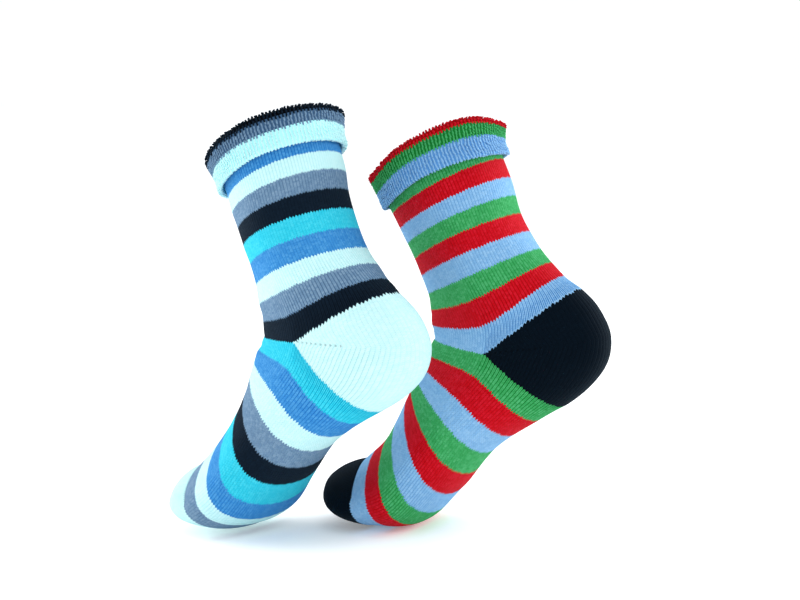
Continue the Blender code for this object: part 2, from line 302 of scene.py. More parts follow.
def paintLayer(piece, name, u, v, period=None):  # a UV map from one value pair a vertex
    mesh = piece.data
    corners = np.empty(len(mesh.loops), np.int32)
    mesh.loops.foreach_get("vertex_index", corners)
    starts = np.empty(len(mesh.polygons), np.int32)
    mesh.polygons.foreach_get("loop_start", starts)
    counts = np.diff(np.append(starts, len(corners)))
    cornerU, cornerV = u[corners].astype(float), v[corners].astype(float)
    if period:  # faces across the back of the count go on past its end
        highest = np.repeat(np.maximum.reduceat(cornerU, starts), counts)
        cornerU = np.where(highest - cornerU > period / 2, cornerU + period, cornerU)
    layer = mesh.uv_layers.new(name=name)
    layer.uv.foreach_set("vector", np.stack([cornerU, cornerV], axis=-1).astype(np.float32).ravel())


def paintNumber(piece, name, values):
    attribute = piece.data.attributes.new(name, "FLOAT", "POINT")
    attribute.data.foreach_set("value", np.asarray(values, np.float32).ravel())


def shellFaces(rows, columns, rowStep, columnStep, wrap):
    # A closed shell: a fine outer grid, a coarser inner one, and a rim that joins them.
    innerRows = (rows - 1) // rowStep + 1
    innerColumns = columns // columnStep if wrap else (columns - 1) // columnStep + 1
    fine, coarse = pointGrid(rows, columns, wrap), pointGrid(innerRows, innerColumns, wrap, rows * columns)
    edges = [(fine[0], coarse[0], columnStep, False), (fine[-1], coarse[-1], columnStep, True)]
    if not wrap:
        edges += [(fine[:, 0], coarse[:, 0], rowStep, True), (fine[:, -1], coarse[:, -1], rowStep, False)]
    rims = []
    for outerEdge, innerEdge, step, back in edges:
        for k in range(len(innerEdge) - 1):
            span, near, far = outerEdge[k * step:(k + 1) * step + 1].tolist(), innerEdge[k], innerEdge[k + 1]
            rims.append([*span[::-1], int(near), int(far)] if back else [*span, int(far), int(near)])
    return gridQuads(fine, flip=True), gridQuads(coarse), rims


waves = ((1, 1.61), (2, 2.59), (3, 1.33), (5, 3.57), (7, 2.31), (9, 5.53))  # round the sock, and along it
crease = {"ridge": 0.45, "ridgeAt": 1.9}  # height of the ridges beside a crease, and their place


def ripple(u, v, seed, size):  # slow unevenness of hand-pulled cloth, in mm
    rng = np.random.default_rng(seed)
    total = 0
    for turns, lengthwise in waves:
        phase, drift = rng.uniform(0, math.tau, 2)
        wave = np.sin(turns * u * math.tau + phase) * np.sin(lengthwise * v + drift)
        total = total + wave / (turns + 2)
    return total * size


def degreesFrom(angle, u):
    return (u * 360 - angle + 180) % 360 - 180


def creaseDepth(u, v, creases):  # soft troughs with a low ridge beside each: mm below the cloth
    depth = 0
    for station, angle, halfLength, width, deep, slant in creases:
        fromMiddle = degreesFrom(angle, u)
        window = np.cos(np.clip(fromMiddle / halfLength, -1, 1) * math.pi / 2)**2
        away = (v - station - slant * fromMiddle / halfLength) / width
        ridge = crease["ridge"] * np.exp(-(np.abs(away) - crease["ridgeAt"])**2)
        depth = depth + deep * window * (np.exp(-away**2) - ridge)
    return depth


# Materials

def linearColour(hexColour):
    channels = [int(hexColour[i:i + 2], 16) / 255 for i in (1, 3, 5)]
    return (*(c / 12.92 if c <= 0.04045 else ((c + 0.055) / 1.055)**2.4 for c in channels), 1.0)


def setInputs(node, values):  # plain values, hex colours, sockets, or nodes whose first output is meant
    for socket, value in values.items():
        if isinstance(value, bpy.types.Node):
            value = value.outputs[0]
        if isinstance(value, bpy.types.NodeSocket):
            node.id_data.links.new(value, node.inputs[socket])
        else:
            node.inputs[socket].default_value = linearColour(value) if isinstance(value, str) else value


def addNode(tree, kind, inputs=None, **settings):
    node = tree.nodes.new("ShaderNode" + kind)
    for name, value in settings.items():
        setattr(node, name, value)
    setInputs(node, inputs or {})
    return node


def newMaterial(name):
    material = bpy.data.materials.new(name)
    material.use_nodes = True
    return material, partial(addNode, material.node_tree)


def dyedBands(add, along, bands, look):  # hard colour changes at (course, yarn) pairs
    low, high = look["low"], look["high"]
    node = add("ValToRGB", {"Fac": add("MapRange", {"Value": along, "From Min": low, "From Max": high})})
    ramp = node.color_ramp
    ramp.interpolation = "CONSTANT"
    while len(ramp.elements) > 1:
        ramp.elements.remove(ramp.elements[-1])
    for i, (start, yarn) in enumerate(bands):
        place = max((start - low) / (high - low), 0)
        element = ramp.elements[0] if i == 0 else ramp.elements.new(place)
        element.position = place
        element.color = linearColour(yarns[yarn])
    return node


# Dyed cotton yarn: matt, with loose fibres that scatter a cool haze at the edges
cotton = {
    "Roughness": 0.95,
    "Specular IOR Level": 0.05,
    "Sheen Roughness": 0.45,
    "Sheen Tint": "#A0DCFF",
}


def finishCotton(material, colour, height, look):
    bump = addNode(material.node_tree, "Bump", {
        "Height": height, "Distance": look["bumpHeight"] * mm, "Strength": look["bumpStrength"]})
    setInputs(material.node_tree.nodes["Principled BSDF"], {
        **cotton, "Sheen Weight": look["fuzz"], "Base Color": colour, "Normal": bump})
    return material


# Across, the knit is measured in columns of stitches, and along it in courses. Shares are of a column, depths
# are powers that deepen a dye as painted shade in the gaps, and a shade is painted shade, a brightness
# against the yarn's own.
jersey = {
    "lean": 1.9,  # courses that a stitch's leg leans over, from the middle of its column to the edge
    "grooveShare": 0.19,
    "splitShare": 0.13,  # where the cloth is pulled widest, the two legs of each stitch part too
    "splitFrom": 0.55,
    "strandShare": 0.42,
    "strandRelief": 0.4,
    "fibres": 1.4,  # clumps to a mm, coarser than real ones so that they show
    "fibreRelief": 0.35,
    "bumpHeight": 0.32,  # mm
    "bumpStrength": 0.75,
    "grooveShade": 0.9,  # painted shade in a gap between two columns that are pulled apart
    "heelGrooveShade": 0.8,
    "closedShade": 0.97,
    "grooveShadeDepth": 1.2,  # painted shade: light that goes round in a gap takes on more of the dye
    "heelGrooveShadeDepth": 0.35,
    # painted shade between the stitches
    "stitchShade": 0.85,
    "mottle": 0.16,  # how much one stitch differs from the next in its depth of colour
    "heather": 1.3,  # patches of shade to a mm
    "heatherWeight": 1.7,  # against each stitch's own shade
    "heatherRange": (0.6, 2.1),
    "darkYarn": 0.06,  # yarns darker than this hide their unevenness
    "darkLively": 0.15,
    "ragged": 0.5,  # courses by which a colour starts early or late from column to column
    "joinRagged": 1.15,
    "fuzz": 0.03,
    "low": -20.0,
    "high": 120.0,
}
# A row of small eyelets where the heel was turned, each painted darker as the shade in its hole
eyelets = {
    "halfPitch": 1.95,  # mm
    "middle": 0.3,  # squares of the distances, in mm, at which an eyelet's edge begins and ends
    "edge": 1.3,
    "shade": 0.6,
}


def combedCottonJersey(name, before, stripes, after, gore=False, teeth=1.0):
    # Combed cotton, knitted plain over a terry back: matt, with leaning stitches in columns, and painted
    # shade in the gaps and between the stitches.
    # before and after are the colours that the stripes lie between, and teeth is how much longer
    # than a plain stitch's the steps are where a colour begins.
    material, add = newMaterial(name)
    smooth = {"interpolation_type": "SMOOTHSTEP"}
    uv = add("UVMap", uv_map="knit")
    place = add("SeparateXYZ", {"Vector": uv})
    across, along = place.outputs["X"], place.outputs["Y"]
    fromGroove = add("Math", {0: across, 1: 0.5}, operation="PINGPONG")
    lean = add("Math", {0: fromGroove, 1: jersey["lean"], 2: -jersey["lean"] / 2}, operation="MULTIPLY_ADD")
    course = add("Math", {0: along, 1: lean}, operation="ADD")
    # Columns with grooves between them, and each stitch's leg across a column
    opened = add("Attribute", attribute_name="opened").outputs["Fac"]
    ridge = add("MapRange", {"Value": fromGroove, "From Max": jersey["grooveShare"]}, **smooth)
    if not gore:
        legsPart = {"Value": fromGroove, "From Min": 0.5 - jersey["splitShare"], "From Max": 0.5}
        split = add("MapRange", legsPart, **smooth)
        wide = add("MapRange", {"Value": opened, "From Min": jersey["splitFrom"]})
        notch = add("Math", {0: split, 1: wide}, operation="MULTIPLY")
        ridge = add("Math", {0: ridge, 1: notch}, operation="SUBTRACT")
    leg = add("Math", {0: course, 1: 0.5}, operation="PINGPONG")
    strand = add("MapRange", {"Value": leg, "From Max": jersey["strandShare"]}, **smooth)
    relief = add("MapRange", {"Value": strand, "To Min": 1 - jersey["strandRelief"]})
    stitch = add("Math", {0: ridge, 1: relief}, operation="MULTIPLY")
    coords = add("TexCoord").outputs["Object"]
    fibres = add("TexNoise", {"Vector": coords, "Scale": jersey["fibres"] / mm, "Detail": 3.0})
    height = add("Math", {0: fibres, 1: jersey["fibreRelief"], 2: stitch}, operation="MULTIPLY_ADD")
    # Bands of dyed yarn, which step from column to column
    column = add("Math", {0: across}, operation="FLOOR")
    pick = add("TexWhiteNoise", {"W": column}, noise_dimensions="1D")
    early = add("Math", {0: pick, 1: 0.5}, operation="SUBTRACT")
    tooth = add("Math", {0: lean, 1: teeth, 2: along}, operation="MULTIPLY_ADD")
    ragged = jersey["joinRagged" if gore else "ragged"]
    dyed = add("Math", {0: early, 1: ragged, 2: tooth}, operation="MULTIPLY_ADD")
    starts = [jersey["low"], *(i * knit["courses"] for i in range(len(stripes) + 1))]
    yarn = dyedBands(add, dyed, zip(starts, [before, *stripes, after]), jersey)
    # Painted shade: darker in the gaps and between the stitches
    gapShade = jersey["heelGrooveShade" if gore else "grooveShade"]
    grooveDark = add("MapRange", {"Value": opened, "To Min": jersey["closedShade"], "To Max": gapShade})
    grooveTone = add("MapRange", {"Value": ridge, "To Min": grooveDark})
    stitchTone = add("MapRange", {"Value": strand, "To Min": jersey["stitchShade"]})
    tone = add("Math", {0: grooveTone, 1: stitchTone}, operation="MULTIPLY")
    # Painted shade deepens the dye in the gaps, and each stitch is a little its own
    cell = add("VectorMath", {0: uv}, operation="FLOOR")
    speckle = add("TexWhiteNoise", {"Vector": cell}, noise_dimensions="2D")
    heather = add("TexNoise", {"Vector": coords, "Scale": jersey["heather"] / mm, "Detail": 2.0})
    mixed = add("Math", {0: heather, 1: jersey["heatherWeight"], 2: speckle}, operation="MULTIPLY_ADD")
    (palest, deepest), mottle = jersey["heatherRange"], jersey["mottle"]
    uneven = add("MapRange", {"Value": mixed, "From Min": palest, "From Max": deepest,
                              "To Min": -mottle, "To Max": mottle})
    gapShadeDepth = jersey["heelGrooveShadeDepth" if gore else "grooveShadeDepth"]
    gap = add("MapRange", {"Value": ridge, "To Min": gapShadeDepth, "To Max": 0.0})
    change = add("Math", {0: gap, 1: opened, 2: uneven}, operation="MULTIPLY_ADD")
    bright = {"Value": add("RGBToBW", {"Color": yarn}), "From Max": jersey["darkYarn"]}
    lively = add("MapRange", {**bright, "To Min": jersey["darkLively"]})
    depth = add("Math", {0: change, 1: lively, 2: 1.0}, operation="MULTIPLY_ADD")
    dyeAndShade = add("Gamma", {"Color": yarn, "Gamma": depth})
    # Eyelets along the gore: painted shade in each hole, which is also sunk in the bump
    if gore:
        goreAt = add("SeparateXYZ", {"Vector": add("UVMap", uv_map="gore")})
        step = add("Math", {0: goreAt.outputs["X"], 1: eyelets["halfPitch"]}, operation="PINGPONG")
        aside = add("Math", {0: goreAt.outputs["Y"]}, operation="ABSOLUTE")
        reach = add("Math", {0: step, 1: step}, operation="MULTIPLY")
        reach = add("Math", {0: aside, 1: aside, 2: reach}, operation="MULTIPLY_ADD")
        hole = {"Value": reach, "From Min": eyelets["middle"], "From Max": eyelets["edge"]}
        eyelet = add("MapRange", hole, **smooth)
        shade = add("MapRange", {"Value": eyelet, "To Min": eyelets["shade"]})
        tone = add("Math", {0: tone, 1: shade}, operation="MULTIPLY")
        height = add("Math", {0: height, 1: eyelet}, operation="MULTIPLY")
    colour = add("VectorMath", {0: dyeAndShade, "Scale": tone}, operation="SCALE")
    return finishCotton(material, colour, height, jersey)


terry = {
    "fibres": 1.6,
    "fibreRange": (0.3, 0.7),
    "fibreShades": (0.9, 1.08),
    "bumpHeight": 0.2,  # mm
    "bumpStrength": 0.5,
    "groundShade": 0.82,  # painted shade: the ground cloth lies in the loops' shadow, so its colour is painted darker and deeper
    "groundShadeDepth": 1.6,
    "paleLift": 0.8,  # pale yarn lets more light through, so its painted shade is lighter
    "fuzz": 0.04,
    "low": -40.0,
    "high": 60.0,
}


def terryYarn(name, bands, shade=1.0, depth=1.0):
    # Soft cotton terry loops: matt, twisted yarn that catches light on its tops. With a shade and a depth, it
    # is the same yarn painted in shade for the ground cloth.
    material, add = newMaterial(name)
    along = add("Attribute", attribute_name="band").outputs["Fac"]
    yarn = dyedBands(add, along, bands, terry)
    coords = add("TexCoord").outputs["Object"]
    fibres = add("TexNoise", {"Vector": coords, "Scale": terry["fibres"] / mm, "Detail": 3.0})
    (low, high), (darkest, lightest) = terry["fibreRange"], terry["fibreShades"]
    tone = add("MapRange", {"Value": fibres, "From Min": low, "From Max": high,
                            "To Min": darkest * shade, "To Max": lightest * shade})
    dyeAndShade = add("Gamma", {"Color": yarn, "Gamma": depth})
    bright = add("RGBToBW", {"Color": yarn})
    lift = (depth - 1) * terry["paleLift"]
    lifted = add("Math", {0: bright, 1: lift, 2: tone}, operation="MULTIPLY_ADD")
    colour = add("VectorMath", {0: dyeAndShade, "Scale": lifted}, operation="SCALE")
    return finishCotton(material, colour, fibres, terry)


# Plain pieces: leg, foot, heel and toe

cloth = {
    "columns": 4,  # mesh columns to a column of stitches
    "rowsPerStripe": 8,
    "rowStep": 5,  # rows of the face to one of the inside
    "ridge": 0.05,  # depth of the grooves between columns of stitches
    "ridgeOpen": 0.16,  # deeper by this where the cloth is stretched wide
    "ridgeVaries": (0.75, 1.2),
    "crest": 0.7,  # lower is flatter on top of a column
    "relaxedColumn": 1.98,  # width of a column of stitches before it is stretched
    "openedOver": 0.5,
    "smoothOver": 4,
    "rippleSize": 0.45,
    "evenEnds": 0.8,  # stripes over which the unevenness dies away towards a join
    "crispAngle": 62,  # rims stay crisp, so the face shades evenly up to its join
    "terryTo": 2.6,
    "terryFade": 1.2,
}


def openedBy(points, wrap):  # how far the columns are pulled apart: 0 relaxed, 1 wide open
    step = np.roll(points, -1, axis=1) - points
    if not wrap:
        step[:, -1] = step[:, -2]
    width = np.linalg.norm(step, axis=-1) * cloth["columns"]
    if wrap:
        reach = cloth["smoothOver"]
        width = sum(np.roll(width, n, axis=1) for n in range(-reach, reach + 1)) / (2 * reach + 1)
    return np.clip((width - cloth["relaxedColumn"]) / cloth["openedOver"], 0, 1)


def knitSurface(points, normals, u, opened, fade, rng):
    # Rounded columns of stitches with grooves between them, no two quite alike.
    columnOf = np.floor(u * knit["needles"] + 1e-6).astype(int) % knit["needles"]
    variation = rng.uniform(*cloth["ridgeVaries"], knit["needles"])[columnOf]
    inColumn = u * knit["needles"] % 1
    crest = np.sin(math.pi * inColumn)**cloth["crest"]
    depth = (cloth["ridge"] + cloth["ridgeOpen"] * opened) * variation * (1 - crest) * fade
    return points - normals * depth[..., None]


def withInside(values, inside=None):  # one value a point of the face, then one a point of the inside
    coarse = values[::cloth["rowStep"], ::cloth["columns"]]
    if inside is not None:
        coarse = np.full(coarse.shape, inside)
    return np.concatenate([values.ravel(), coarse.ravel()])


def knitPiece(name, sock, outer, inner, wrap, materials, u, courses, opened):
    rows, columns = outer.shape[:2]
    outerFaces, innerFaces, rims = shellFaces(rows, columns, cloth["rowStep"], cloth["columns"], wrap)
    looks = None
    if wrap:  # the second material is on the sock's back half and inside
        at = outerFaces[:, 1] % columns
        onBack = (at >= columns / 4) & (at < columns * 3 / 4)
        looks = [*onBack.astype(int), *[1] * (len(innerFaces) + len(rims))]
    everything = np.concatenate([outer.reshape(-1, 3), inner.reshape(-1, 3)])
    faces = outerFaces.tolist() + innerFaces.tolist() + rims
    piece = addPiece(name, standSock(sock, everything), faces, materials, looks)
    period = knit["needles"] if wrap else None
    paintLayer(piece, "knit", withInside(u) * knit["needles"], withInside(courses), period)
    paintNumber(piece, "opened", withInside(opened, 0.0))
    piece.data.set_sharp_from_angle(angle=math.radians(cloth["crispAngle"]))
    return piece


def innerOut(stations):  # the inside keeps its pile down to a place, and has plain cloth below
    t = np.clip((stations - cloth["terryTo"]) / cloth["terryFade"], 0, 1)
    return knit["pile"] * (1 - t * t * (3 - 2 * t)) - knit["wall"]


def tubePiece(name, sock, rows, startStation, endStation, creases, materials):
    rng = np.random.default_rng(sock["seed"])
    columns, rowStep = knit["needles"] * cloth["columns"], cloth["rowStep"]
    count = int(round((endStation - startStation) * cloth["rowsPerStripe"] / rowStep)) * rowStep + 1
    stations = np.linspace(startStation, endStation, count)[:, None]
    u = (np.arange(columns) / columns)[None, :]
    angles = evenAngles(lambda probe: tubePoints(rows, stations, probe), u[0])
    points = tubePoints(rows, stations, angles)
    normals = gridNormals(points, True)
    opened = openedBy(points, True)
    bend = ripple(u, stations, sock["seed"], cloth["rippleSize"]) - creaseDepth(u, stations, creases)
    ends = np.clip(np.minimum(stations - startStation, endStation - stations) / cloth["evenEnds"], 0, 1)
    points = points + normals * (bend * ends)[..., None]
    u = np.broadcast_to(u, opened.shape)
    outer = knitSurface(points, normals, u, opened, 1.0, rng)
    innerStations = stations[::rowStep]
    inner = tubePoints(rows, innerStations, angles[::rowStep, ::cloth["columns"]], innerOut(innerStations))
    courses = np.broadcast_to((stations - math.floor(startStation + 0.5)) * knit["courses"], opened.shape)
    return knitPiece(name, sock, outer, inner, True, materials, u, courses, opened)


# Shares of a pocket's rows run from 0 at its upper edge to 1 at its lower one, and distances from
# a gore's tip are in columns unless they are said to be in mm.
pocket = {
    "tipShare": 0.10,  # part of a column that is left out at a gore's tip
    "heelRows": 81,
    "toeRows": 61,
    "courseHeight": 1.2,  # mm
    "kink": 0.16,  # near the gore's tip the heel's columns run straight and turn at the gore line
    "openFrom": 0.42,  # the heel's columns open below the gore line, near its tips
    "openOver": 0.16,
    "openAbove": 0.2,
    "openWithin": 27.0,
    "closesOver": 9.0,
    "openMiddle": 0.1,
    "heelOpen": 0.8,
    "toeOpen": 0.5,
    "tipFade": 3.0,
    "rippleLength": 9,
    "gorePast": 40.0,  # mm of eyelets from the gore's tip
    "noEyelet": 50.0,  # mm, out of an eyelet's reach
}


def pocketPiece(name, sock, shape, rowCount, material, isHeel):
    # A heel or toe pocket: columns of stitches run over it from one edge to the other.
    rng = np.random.default_rng(sock["seed"] + rowCount)
    half = knit["needles"] // 2
    steps = np.arange(half * cloth["columns"] + 1) / cloth["columns"]
    steps[0], steps[-1] = pocket["tipShare"], half - pocket["tipShare"]
    sweep = np.linspace(0, 1, rowCount)[:, None]
    inFromTip = np.minimum(steps, half - steps)[None, :]
    kink = pocket["kink"] * isHeel * inFromTip * np.abs(np.sin(math.tau * sweep)) * (1 - 2 * inFromTip / half)
    lines = (steps + np.where(steps < half / 2, -kink, kink)) / half / 2 + 0.25
    angles = np.concatenate([
        evenAngles(lambda probe: shape(sock, sweep[k:k + 1], probe), lines[k]) for k in range(rowCount)])
    points = shape(sock, sweep, angles)
    normals = gridNormals(points, False)
    opened = openedBy(points, False)
    if isHeel:
        below = np.clip((sweep - pocket["openFrom"]) / pocket["openOver"], pocket["openAbove"], 1)
        nearTip = np.clip((pocket["openWithin"] - inFromTip) / pocket["closesOver"], pocket["openMiddle"], 1)
        opened = opened * below * pocket["heelOpen"] * nearTip
    else:
        opened = opened * pocket["toeOpen"]
    u = np.broadcast_to((steps / half / 2 + 0.25)[None, :], opened.shape)
    fade = np.clip(inFromTip / pocket["tipFade"], 0, 1)
    bend = ripple(u, sweep * pocket["rippleLength"], sock["seed"] + 5, cloth["rippleSize"])
    bend = bend * np.sin(math.pi * sweep) * fade
    outer = knitSurface(points + normals * bend[..., None], normals, u, opened, fade, rng)
    rowStep = cloth["rowStep"]
    inner = shape(sock, sweep[::rowStep], angles[::rowStep, ::cloth["columns"]], knit["wall"])
    run = lengthAlong(points)
    # Courses are counted from the edge that is seen against another colour
    courses = (run if isHeel else run[-1] - run) / pocket["courseHeight"]
    piece = knitPiece(name, sock, outer, inner, False, [material], u, courses, opened)
    if isHeel:  # mm from the gore's tip along its line, and mm aside from the line
        fromTip = lengthAlong(points[rowCount // 2])
        fromTip = np.minimum(fromTip, fromTip[-1] - fromTip)
        aside = run - run[rowCount // 2] + np.where(fromTip > pocket["gorePast"], pocket["noEyelet"], 0)
        paintLayer(piece, "gore", withInside(np.broadcast_to(fromTip, aside.shape), 0.0),
                   withInside(aside, pocket["noEyelet"]))
    return piece


# The turned-down cuff: ground cloth, and terry loops on its outside

cuff = {
    "space": 2.0,  # between the leg and the turned-down layer
    "layer": 3.0,
    "roll": 0.8,  # how much fatter the free edge is
    "rollFrom": 0.6,
    "flare": 2.5,
    "seam": -0.3,
    "seamTrim": 0.025,
    "rimWave": (4.0, 50, 0.5),  # place, seed and mm: neither the rim nor the free edge is quite level
    "edgeWave": (2.0, 40, 0.9),
    "puffWave": (7.0, 60, 0.9),
    "wander": (-12.0, -4.0, 14.0, 24.0),  # mm from the fold between which the bands wander
    "terryRows": (12, 12, 16, 9),  # mesh rows inside, over the fold, outside and round the roll
    "plainRows": (8, 6),  # up between the layers, and down inside
}


def dipAt(u, dips):  # how much lower something lies at each place round the sock, in mm
    return sum(drop * np.exp(-(degreesFrom(angle, u) / halfWidth)**2) for angle, halfWidth, drop in dips)


def cuffPath(sock, pile):
    # From inside the mouth, over the fold and down to the rolled edge, then back up between the
    # layers. Each row is a station, a distance outwards, and its share of the rim's and edge's dips.
    def stretch(*columns):
        return np.stack(np.broadcast_arrays(*columns), axis=-1)

    wall, stripe, space = knit["wall"], knit["stripe"], cuff["space"]
    reach = space + cuff["layer"]
    foldMiddle, foldRadius = (reach - wall) / 2, (reach + wall) / 2
    foldBase = sock["cuffRim"] + foldRadius / stripe
    lowerEnd = cuff["seam"] - cuff["seamTrim"]
    rollMiddle, rollRadius = space + cuff["layer"] / 2, cuff["layer"] / 2 + cuff["roll"]
    rollBase = sock["cuffEdge"] - rollRadius / stripe
    insideRows, foldRows, outsideRows, rollRows = cuff["terryRows"]
    betweenRows, downRows = cuff["plainRows"]
    up, out = (np.linspace(0, 1, rows, endpoint=False) for rows in (insideRows, outsideRows))
    fold, roll = np.linspace(math.pi, 0, foldRows, endpoint=False), np.linspace(0, math.pi, rollRows)
    back, down = np.linspace(1, 0, betweenRows), np.linspace(1, 0, downRows)
    fatter = cuff["roll"] * np.maximum(out - cuff["rollFrom"], 0) / (1 - cuff["rollFrom"])
    inner, outer = foldRadius - pile, rollRadius - pile
    terrySide = np.concatenate([
        stretch(lowerEnd + (foldBase - lowerEnd) * up, pile - wall, up, 0),
        stretch(foldBase - np.sin(fold) * inner / stripe, foldMiddle + np.cos(fold) * inner, 1, 0),
        stretch(foldBase + (rollBase - foldBase) * out, reach - pile + fatter, 1 - out, out),
        stretch(rollBase + np.sin(roll) * outer / stripe, rollMiddle + np.cos(roll) * outer, 0, 1),
    ])
    plainSide = np.concatenate([
        stretch(foldBase + (rollBase - foldBase) * back, space, 1 - back, back),
        [[foldBase - space / 2 / stripe, space / 2, 1, 0]],
        stretch(lowerEnd + (foldBase - lowerEnd) * down, 0.0, down, 0),
    ])
    return terrySide, plainSide


def pathPlaces(path):  # mm along the path: of each row, of the fold's top and of the roll's lowest point
    along = lengthAlong(np.stack([path[:, 0] * knit["stripe"], path[:, 1]], axis=-1))
    onRoll = np.where(path[:, 3] == 1, path[:, 0], -np.inf)
    return along, along[np.argmin(path[:, 0])], along[np.argmax(onRoll)]


def cuffPoints(sock, stations, outs, rimShares, edgeShares, u):
    def wave(at, seed, size):
        return ripple(u, np.full_like(u, at), sock["seed"] + seed, size)

    rimDrop = dipAt(u, sock["rimDips"]) + wave(*cuff["rimWave"])
    edgeDrop = dipAt(u, sock["edgeDips"]) + wave(*cuff["edgeWave"])
    dips = rimShares * rimDrop + edgeShares * edgeDrop
    rimHeight = cuff["seam"] - sock["cuffRim"]
    raised = np.maximum(0, (cuff["seam"] - stations) / rimHeight)
    puff = wave(*cuff["puffWave"]) * edgeShares
    points = tubePoints(sock["leg"], stations + dips / knit["stripe"], u * math.tau,
                        outs + cuff["flare"] * raised + puff)
    points[..., 0] -= sock["cuffLean"] * raised
    return points


def cuffCloth(name, sock, material):
    terrySide, plainSide = cuffPath(sock, knit["pile"])
    path = np.concatenate([terrySide, plainSide])
    rows, columns = len(path), knit["needles"] * 2
    u = (np.arange(columns) / columns)[None, :]
    points = cuffPoints(sock, *np.broadcast_arrays(*(path[:, k][:, None] for k in range(4)), u))
    faces = gridQuads(pointGrid(rows + 1, columns, True), flip=True) % (rows * columns)
    piece = addPiece(name, standSock(sock, points), faces.tolist(), [material])
    along, foldAt, _ = pathPlaces(terrySide)
    fromFold = along - foldAt
    band = np.concatenate([fromFold, np.linspace(fromFold[-1], fromFold[0], len(plainSide))])
    paintNumber(piece, "band", band[:, None] - courseDip(sock, band[:, None], u))
    return piece


def courseDip(sock, fromFold, u):  # the bands wander a little on the outside, but not at the free edge
    start, full, waning, end = cuff["wander"]
    fade = np.clip((fromFold - start) / (full - start), 0, 1)
    return dipAt(u, sock["bandDips"]) * fade * np.clip((end - fromFold) / (end - waning), 0, 1)


# Loops of yarn, in mm. Over the fold, where the second sizes hold, they stand up in round curls.
loops = {
    "sizes": {
        "tall": (0.95, 1.6),
        "long": (2.9, 1.3),
        "gap": (0.28, 0.5),  # from the middle of a loop to each of its legs
        "yarn": (0.88, 0.98),
    },
    "arch": (0.8, 1.3),  # powers that round a loop's height and its length
    "rowSpacing": 1.95,
    "foldReach": 4.6,
    "foldLead": 0.4,  # a loop's middle lies this share of its length past its root
    "foldCrowding": 0.2,
    "sunk": 0.3,  # how deep both ends go into the cloth
    "waist": 0.4,  # a loop's legs stand closer together at its roots
    "girth": 235.0,  # round the cuff
    "sway": 0.2,
    "slant": 0.5,  # slow changes of the way that the loops lie, over this length
    "slantOver": 6.0,
    "varies": 0.2,  # shares by which a loop's size, gap and yarn differ from the usual
    "gapVaries": 0.3,
    "yarnVaries": 0.12,
    "rowVaries": 0.3,
    "columnVaries": 0.08,
    "sides": 5,
    "segments": 5,
    "insideSides": 4,
    "insideSegments": 4,
    "insideDepth": 3.0,  # stripes below the cuff down which the leg's inside shows its loops
}


def yarnMesh(name, sock, line, first, second, radius, sides, material, capped=False):
    # Short lengths of yarn: a ring of points round every point of each line.
    count, steps = line.shape[:2]
    ring = np.arange(sides) / sides * math.tau
    points = line[:, :, None] + radius * (first[:, :, None] * np.cos(ring)[:, None]
                                          + second[:, :, None] * np.sin(ring)[:, None])
    starts = np.arange(count) * steps * sides
    faces = (gridQuads(pointGrid(steps, sides, True)) + starts[:, None, None]).reshape(-1, 4).tolist()
    for start in starts.tolist() if capped else ():
        faces.append([start + n for n in range(sides)][::-1])
        faces.append([start + (steps - 1) * sides + n for n in range(sides)])
    return addPiece(name, standSock(sock, points), faces, [material])


def loopMesh(name, sock, surface, s, u, size, rng, material, band, sides, segments):
    # Every loop is a hairpin of yarn that lies along the cloth and is sunk into it at both ends.
    # s and u are its root's place along and round the cloth, in mm and turns; surface gives points.
    def varied(share):
        return rng.uniform(1 - share, 1 + share, len(s))[:, None]

    t = np.linspace(0, 1, segments + 1)[None, :]
    rise = np.sin(math.pi * t)
    tall, long = (size[key][:, None] * varied(loops["varies"]) for key in ("tall", "long"))
    gap = size["gap"][:, None] * varied(loops["gapVaries"])
    slant = ripple(u, s / loops["slantOver"], 3, loops["slant"])
    lean = (rng.normal(0, loops["sway"], len(s)) + slant)[:, None]
    out = tall * rise**loops["arch"][0] - loops["sunk"]
    along = s[:, None] + long * rise**loops["arch"][1]
    across = gap * (2 * t - 1) * (loops["waist"] + (1 - loops["waist"]) * rise) + lean * rise
    around = u[:, None] + across / loops["girth"]
    line = surface(along, around, out)
    sideways = unit(surface(along, around + 0.001, out) - line)
    tangent = unit(np.gradient(line, axis=1))
    first = unit(np.cross(tangent, sideways))
    radius = (size["yarn"][:, None] / 2 * varied(loops["yarnVaries"]))[..., None, None]
    piece = yarnMesh(name, sock, line, first, np.cross(tangent, first), radius, sides, material)
    paintNumber(piece, "band", np.repeat(band, (segments + 1) * sides))
    return piece


def loopPlaces(rowAt, rng):  # a root in every column and row, each a little off its place
    needles = knit["needles"]
    early, aside = loops["rowVaries"], loops["columnVaries"]
    s = rowAt[:, None] + rng.uniform(-early, early, (len(rowAt), needles)) * loops["rowSpacing"]
    u = (np.arange(needles)[None, :] + 0.5 + rng.uniform(-aside, aside, s.shape)) / needles
    return s.ravel(), u.ravel()


